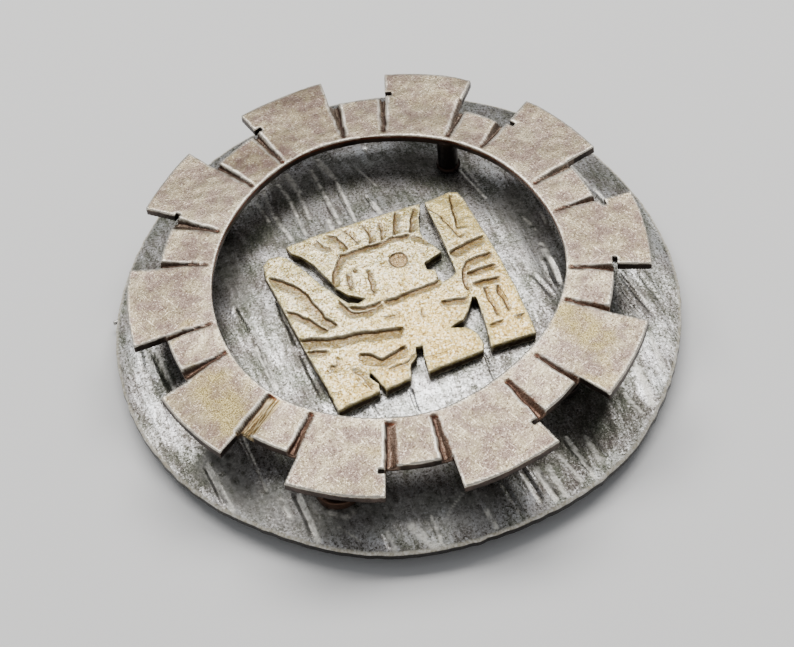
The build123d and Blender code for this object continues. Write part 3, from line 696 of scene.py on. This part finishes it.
relief(tree, shader, [(patches, 0.08, 0.5), (dark_spots, 0.03, 0.5), (fine, 0.015, 0.6)])
tab_ring = finished(ring_mesh, ring_finish, "tab_ring")
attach(tab_ring, "root")
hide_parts("notched_ring")


# Figure plaque: a square of thin brass, sawn out, cut with a graver and soldered on the top of
# the dome. Its profile figure with a crest and a staff is a traditional one. The cuts keep a
# brown patina, with painted shade along their steep walls; the face is worn pale and its edges
# are rubbed bright.
plaque_face_radius = 86.268
plaque_x = 0.2
plaque_y = -1.4
plaque_turn = 19.0

# Graver cuts on the plaque's own axes: width, depth, points
graver_cuts = [
    (0.45, 0.09, [(-4.1, 8.9), (-4.0, 8.1), (-3.2, 6.8)]),
    (0.50, 0.13, [(-3.1, 8.8), (-2.4, 8.2), (-2.1, 6.9), (-1.9, 6.2)]),
    (0.50, 0.13, [(-1.6, 8.7), (-1.2, 7.8), (-1.0, 6.4)]),
    (0.50, 0.15, [(0.2, 8.5), (0.3, 7.3), (0.2, 6.5), (-0.1, 5.8)]),
    (0.45, 0.12, [(1.7, 8.1), (1.3, 6.4), (0.9, 5.7)]),
    (0.25, 0.07, [(1.0, 7.6), (1.0, 6.9)]),
    (0.50, 0.19, [(3.5, 8.6), (2.8, 7.2), (2.2, 5.8)]),
    (0.60, 0.17, [(5.2, 8.3), (4.4, 7.1), (3.6, 5.5)]),
    (0.55, 0.17, [(-4.9, 2.8), (-4.2, 4.4), (-3.4, 5.4), (-2.8, 6.0), (-2.2, 5.9), (-1.3, 5.9)]),
    (0.45, 0.20, [(-2.2, 5.9), (-1.3, 5.9), (-0.1, 5.8), (0.9, 5.7), (2.2, 5.8), (2.7, 5.6), (3.7, 5.4)]),
    (0.40, 0.10, [(3.4, 5.5), (4.4, 4.4), (4.8, 3.5)]),
    (0.42, 0.13, [(-3.1, 4.1), (-3.4, 3.0), (-3.5, 1.9)]),
    (0.42, 0.14, [(-1.4, 3.6), (-1.6, 2.5), (-1.9, 0.6)]),
    (0.35, 0.20, [(-4.5, 0.5), (-3.2, -0.2), (-2.3, -0.3), (-1.4, -0.2)]),
    (0.50, 0.15, [(-5.0, 1.6), (-4.7, 0.7), (-4.3, -0.3), (-3.1, -0.7), (-1.4, -0.5)]),
    (0.50, 0.19, [(-1.6, -0.4), (-0.3, -0.5), (0.7, -0.4), (2.2, -0.5), (3.4, -0.4), (4.1, -0.2)]),
    (0.80, 0.19, [
        (-9.4, 7.0), (-8.5, 6.0), (-7.7, 4.9), (-7.2, 3.7), (-7.0, 2.2), (-6.6, 0.4), (-6.0, -0.9),
    ]),
    (0.50, 0.17, [(-9.6, 2.8), (-8.9, 2.2), (-8.0, 1.0), (-7.4, -0.3), (-6.9, -1.1)]),
    (0.85, 0.24, [
        (-9.6, -0.5), (-8.2, -1.2), (-6.9, -1.8), (-6.1, -2.1), (-4.9, -2.3), (-3.6, -2.8), (-0.9, -3.7),
    ]),
    (0.50, 0.15, [(-9.6, -2.0), (-8.7, -2.3), (-7.7, -3.0)]),
    (0.75, 0.19, [(-5.6, -4.2), (-4.7, -4.9), (-3.9, -5.7), (-2.8, -5.6), (-1.5, -5.3)]),
    (0.40, 0.08, [(-6.8, -5.4), (-6.1, -6.6), (-5.9, -8.2)]),
    (0.40, 0.08, [(-4.0, -6.8), (-2.2, -6.9), (-0.9, -6.4)]),
    (0.50, 0.08, [(-7.4, -3.6), (-7.5, -4.4), (-8.5, -4.9)]),
    (0.25, 0.07, [(1.2, -2.3), (0.8, -3.6)]),
    (0.30, 0.06, [(-2.4, -1.9), (-0.7, -2.2)]),
    (0.50, 0.15, [(2.9, -2.5), (4.0, -2.7), (4.8, -3.0), (5.5, -2.9)]),
    (0.75, 0.17, [(6.1, 7.8), (6.8, 6.6), (7.0, 5.3), (7.2, 4.5), (7.5, 3.1)]),
    (0.85, 0.19, [(8.7, 8.4), (8.2, 6.8), (8.0, 5.6), (7.5, 4.1)]),
    (0.75, 0.21, [(5.7, 2.0), (7.2, 2.4), (8.3, 2.6), (9.6, 2.7)]),
    (0.50, 0.16, [(9.4, 0.7), (7.9, 0.7), (6.8, 0.5), (6.2, -0.1), (5.6, -1.4), (5.7, -2.5)]),
    (0.45, 0.19, [(6.1, -0.5), (7.1, -0.6), (7.9, -0.6), (9.2, -0.7)]),
    (0.45, 0.16, [(6.2, -1.9), (7.4, -1.9), (9.0, -2.1)]),
    (0.42, 0.14, [(7.1, -2.3), (6.9, -3.8), (7.0, -4.8), (6.9, -5.8)]),
    (0.42, 0.14, [(8.2, -2.6), (8.0, -3.8), (8.1, -4.9), (8.0, -5.8)]),
    (0.42, 0.11, [(5.7, -6.4), (6.5, -6.3), (7.3, -6.4)]),
    (0.42, 0.10, [(8.1, -6.3), (9.3, -6.4)]),
]

# A fold that stands up, in the same way
raised_fold = (0.6, 0.06, [(-9.2, -4.8), (-7.9, -5.2), (-6.3, -5.3), (-5.1, -5.9), (-3.8, -6.6)])

# Punched marks, the eye first: place, radius, depth
punches = [
    (1.5, 3.2, 0.90, 0.12), (-2.4, 3.7, 0.26, 0.12), (-8.1, -4.5, 0.30, 0.12),
    (-0.8, 0.5, 0.14, 0.08), (2.1, 1.9, 0.14, 0.08),
]


def slanted_cut(x, y, width, deep, points):
    """Depth of a graver's cut with one steep and one sloping wall, and painted shade at its bottom, under
    the steep wall.
    """
    lengths = [np.hypot(b[0] - a[0], b[1] - a[1]) for a, b in zip(points, points[1:])]
    facing = 1 if (points[-1][0] - points[0][0]) + 0.35 * (points[-1][1] - points[0][1]) < 0 else -1
    nearest = np.full(len(x), 1e9)
    side = np.zeros(len(x))
    run = np.zeros(len(x))
    for place, (start, end) in enumerate(zip(points, points[1:])):
        along, across = beside(x, y, (*start, *end))
        past = along - np.clip(along, 0, 1)
        away = np.hypot(across, past * lengths[place])
        closer = away < nearest
        nearest = np.where(closer, away, nearest)
        side = np.where(closer, np.where(across * facing > 0, away, -away), side)
        run = np.where(closer, sum(lengths[:place]) + np.clip(along, 0, 1) * lengths[place], run)
    ends = rise(run, -0.1, 0.5) * rise(sum(lengths) - run, -0.1, 0.6)
    width = width * (0.4 + 0.6 * ends)
    slope = np.where(side > 0, 1 - side / 0.12, 1 + side / width)
    shape = np.clip(slope, 0, 1) * ends
    return deep * shape, bump(side, -0.02, 0.10) * ends


plaque_mesh = remeshed(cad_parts["figure_plaque"], "brass_figure", scale=0.43)
places = read_places(plaque_mesh)
middle = np.array([0, 0, dome_centre])
rays = places - middle
from_centre = np.linalg.norm(rays, axis=1)
below = plaque_face_radius - from_centre
walls = np.flatnonzero((below > 0.42) & (below < 0.92))
wall_tree = KDTree(len(walls))
for wall in walls:
    wall_tree.insert((places[wall, 0], places[wall, 1], 0), int(wall))
wall_tree.balance()
inward = np.array([wall_tree.find((x, y, 0))[2] for x, y in places[:, :2]])
on_top = below < 0.40
plain = on_top & (inward > 0.12)
from_centre = np.where(plain, plaque_face_radius, from_centre)
places = middle + rays / np.linalg.norm(rays, axis=1)[:, None] * from_centre[:, None]
soft = evened(plaque_mesh, places, 3)
places = np.where(plain[:, None], soft, evened(plaque_mesh, places, 1))
turn = radians(plaque_turn)
own_x = (places[:, 0] - plaque_x) * cos(turn) + (places[:, 1] - plaque_y) * sin(turn)
own_y = (places[:, 1] - plaque_y) * cos(turn) - (places[:, 0] - plaque_x) * sin(turn)
wander_x = own_x + 0.05 * ripple(places[:, :2], 1.3, 34)
wander_y = own_y + 0.05 * ripple(places[:, :2], 1.3, 35)
carved = np.zeros(len(places))
line = np.zeros(len(places))
brown = np.zeros(len(places))
for width, deep, points in graver_cuts:
    cut, dark = slanted_cut(wander_x, wander_y, 1.25 * width, 1.4 * deep, points)
    carved = np.maximum(carved, cut)
    # Painted shade along the steep wall of each cut
    line = np.maximum(line, dark * min(1, deep / 0.16))
for across, up, size, deep in punches:
    away = np.hypot(wander_x - across, wander_y - up)
    eye = rise(size, 0.4, 0.8)
    carved = np.maximum(carved, deep * (1 - rise(away, size - 0.16, size)))
    carved -= 0.06 * eye * bump(away - size, 0.22, 0.14) * (wander_y > up - 0.2)
    brown = np.maximum(brown, eye * (1 - rise(away, size - 0.2, size)))
    # Painted shade on the upper edge of each punch
    edge = bump(away - size, -0.08, 0.09) * (wander_y > up - 0.3 * size)
    line = np.maximum(line, 0.8 * edge)
carved -= slanted_cut(wander_x, wander_y, *raised_fold)[0]
places = places + rays / np.linalg.norm(rays, axis=1)[:, None] * (-carved * on_top)[:, None]
write_places(plaque_mesh, places)
unevenness = uneven(places, [(0.018, 2.2, 31), (0.010, 0.8, 32), (0.005, 0.4, 33)])
unevenness += (inward < 0.10) * uneven(places, [(0.030, 1.1, 36), (0.015, 0.5, 37)])
places = places + outward(plaque_mesh) * unevenness[:, None]
write_places(plaque_mesh, places)
ridge = edge_height(plaque_mesh, places, 4)
below = plaque_face_radius - np.linalg.norm(places - middle, axis=1)
write_share(plaque_mesh, "worn", np.clip(ridge / 0.025 - 0.2, 0, 1))
write_share(plaque_mesh, "hollow", np.clip(-ridge / 0.022 - 0.2, 0, 1))
write_share(plaque_mesh, "cut", (np.clip(carved / 0.14, 0, 1) + brown) * on_top)
write_share(plaque_mesh, "line", np.clip(line, 0, 1) * on_top)
sawn_edge = rise(below, 0.16, 0.42) * (inward < 0.12)
underside = (below > 0.5) * (inward >= 0.12)
write_share(plaque_mesh, "side", sawn_edge + underside)
lower_half = rise(-own_y - 0.6 * np.abs(own_x - 1), -6.0, 5.0)
staff = rise(own_x, 5.5, 8.0)
write_share(plaque_mesh, "yellow", lower_half + 0.7 * staff)
staff_head = rise(own_x + own_y, 9.0, 14.0)
write_share(plaque_mesh, "rimmed", np.maximum(1 - rise(inward, 0.1, 0.6), staff_head) * on_top)

brass_finish, tree, shader = new_finish("worn_brass")
cloud = mottle(tree, 2.4, detail=4, shift=2)
patches = mottle(tree, 0.7, detail=3, shift=13)
fine = mottle(tree, 0.11, detail=1, shift=9)
bright_spots = mottle(tree, 0.22, detail=2, shift=12)
dark_spots = mottle(tree, 0.22, detail=2, shift=15)
light = stretch_range(tree, cloud, 0.3, 0.7, 0.50, 0.70)
light = layered(tree, light, [
    (patches, 0.3, 0.7, -0.20, 0.20), (fine, 0.40, 0.60, -0.34, 0.34),
    (bright_spots, 0.52, 0.58, 0.0, 0.42), (dark_spots, 0.56, 0.62, 0.0, -0.50),
])
light = shifted(tree, light, [("yellow", -0.08)])
face = shades(tree, light, [
    (0.0, (0.11, 0.07, 0.02)), (1.0, (1.0, 0.94, 0.68)),
    (0.30, (0.42, 0.315, 0.11)), (0.60, (0.81, 0.67, 0.30)),
])
green_and_orange = shades(tree, patches, [(0.40, (0.54, 0.45, 0.16)), (0.60, (0.98, 0.68, 0.40))])
face = tint(tree, 0.22, face, green_and_orange)
warm = tint(tree, 0.65, face, (0.76, 0.50, 0.13))
face = coated(tree, face, [("yellow", 0.90, warm)])
face = tint(tree, stretch_range(tree, dark_spots, 0.57, 0.62, 0.0, 0.60), face, (0.20, 0.125, 0.045))
face = tint(tree, stretch_range(tree, bright_spots, 0.57, 0.62, 0.0, 0.60), face, (1.0, 0.97, 0.80))
patina = shades(tree, fine, [(0.38, (0.15, 0.08, 0.035)), (0.62, (0.46, 0.31, 0.16))])
face = coated(tree, face, [
    ("cut", 0.45, patina),
    ("rimmed", 0.50, (0.43, 0.36, 0.12)),
    ("side", 1.0, (0.07, 0.045, 0.022)),
    ("worn", 0.6, (1.0, 0.93, 0.68)),
    ("hollow", 0.5, (0.12, 0.06, 0.03)),
    # painted shade along the cuts and punch edges
    ("line", 0.9, (0.09, 0.045, 0.02)),
])
put(tree, shader.inputs["Base Color"], face)
shader.inputs["Metallic"].default_value = 0.8
put(tree, shader.inputs["Roughness"], stretch_range(tree, light, 0.2, 0.9, 0.52, 0.36))
relief(tree, shader, [(patches, 0.09, 0.6), (dark_spots, 0.05, 0.7), (fine, 0.02, 0.7)])
brass_figure = finished(plaque_mesh, brass_finish, "brass_figure")
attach(brass_figure, "root")
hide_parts("figure_plaque")


# Pin fitting: a stem of hard wire between a hinge and a hooked catch, on two plates soldered
# behind the disc. Plain nickel silver, drawn and sawn, dull and grey with handling.
pin_mesh = remeshed(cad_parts["pin_back"], "pin_fitting", scale=0.55)
places = evened(pin_mesh, read_places(pin_mesh), 1)
write_places(pin_mesh, places)
unevenness = uneven(places, [(0.010, 1.0, 41), (0.005, 0.4, 42)])
places = places + outward(pin_mesh) * unevenness[:, None]
places[:, 2] = np.maximum(places[:, 2], 0)
write_places(pin_mesh, places)
ridge = edge_height(pin_mesh, places, 4)
write_share(pin_mesh, "worn", np.clip(ridge / 0.03, 0, 1))
write_share(pin_mesh, "hollow", np.clip(-ridge / 0.025, 0, 1))

pin_finish, tree, shader = new_finish("dull_nickel_silver")
cloud = mottle(tree, 2.0, detail=4)
grain = mottle(tree, 0.22, detail=3)
lines = mottle(tree, 0.14, detail=2, stretch=0.08, turn=19)
light = stretch_range(tree, cloud, 0.3, 0.7, 0.2, 0.6)
light = layered(tree, light, [(grain, 0.3, 0.7, -0.15, 0.15)])
light = shifted(tree, light, [("worn", 0.4), ("hollow", -0.5)])
metal = shades(tree, light, [
    (0.0, (0.06, 0.055, 0.05)), (1.0, (0.72, 0.70, 0.66)), (0.5, (0.34, 0.325, 0.30)),
])
put(tree, shader.inputs["Base Color"], metal)
shader.inputs["Metallic"].default_value = 1.0
put(tree, shader.inputs["Roughness"], stretch_range(tree, grain, 0.3, 0.7, 0.48, 0.34))
relief(tree, shader, [(lines, 0.02, 0.5), (grain, 0.02, 0.5)])
pin_fitting = finished(pin_mesh, pin_finish, "pin_fitting")
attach(pin_fitting, "root")
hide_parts("pin_back")


# Stage: a plain pale table top, one wide soft panel above and behind the brooch, and a grey
# room round it. The camera looks down from the front, as the photograph does.
table_shape = bmesh.new()
bmesh.ops.create_grid(table_shape, x_segments=1, y_segments=1, size=0.8)
table_mesh = bpy.data.meshes.new("table_top")
table_shape.to_mesh(table_mesh)
table_shape.free()
table_finish, tree, shader = new_finish("pale_table")
shader.inputs["Base Color"].default_value = (0.94, 0.94, 0.94, 1)
shader.inputs["Roughness"].default_value = 0.7
table_mesh.materials.append(table_finish)
table_top = bpy.data.objects.new("table_top", table_mesh)
bpy.context.scene.collection.objects.link(table_top)

room = bpy.data.worlds.new("room")
room.use_nodes = True
room.node_tree.nodes["Background"].inputs["Color"].default_value = (0.95, 0.97, 1, 1)
room.node_tree.nodes["Background"].inputs["Strength"].default_value = 0.28
bpy.context.scene.world = room

panel = bpy.data.lights.new("soft_panel", "AREA")
panel.shape = "RECTANGLE"
panel.size = 0.80
panel.size_y = 0.26
panel.energy = 5.0
panel.color = (1, 0.985, 0.96)
soft_panel = bpy.data.objects.new("soft_panel", panel)
soft_panel.location = (0, 0.27, 0.54)
soft_panel.rotation_euler = soft_panel.location.to_track_quat("Z", "Y").to_euler()
bpy.context.scene.collection.objects.link(soft_panel)

camera = bpy.data.cameras.new("camera")
camera.sensor_width = 36
camera.lens = 134
camera.clip_start = 0.01
down = radians(53.82)
roll = radians(5.78)
distance = 0.26
aim = Vector((-0.000117, -0.00125, 0.00235))
sight = Vector((0, cos(down), -sin(down)))
level = Vector((1, 0, 0))
upward = Vector((0, sin(down), cos(down)))
right = level * cos(roll) - upward * sin(roll)
top = level * sin(roll) + upward * cos(roll)
stand = Matrix((right, top, -sight)).transposed().to_4x4()
stand.translation = aim - sight * distance
camera_object = bpy.data.objects.new("camera", camera)
camera_object.matrix_world = stand
bpy.context.scene.collection.objects.link(camera_object)
bpy.context.scene.camera = camera_object
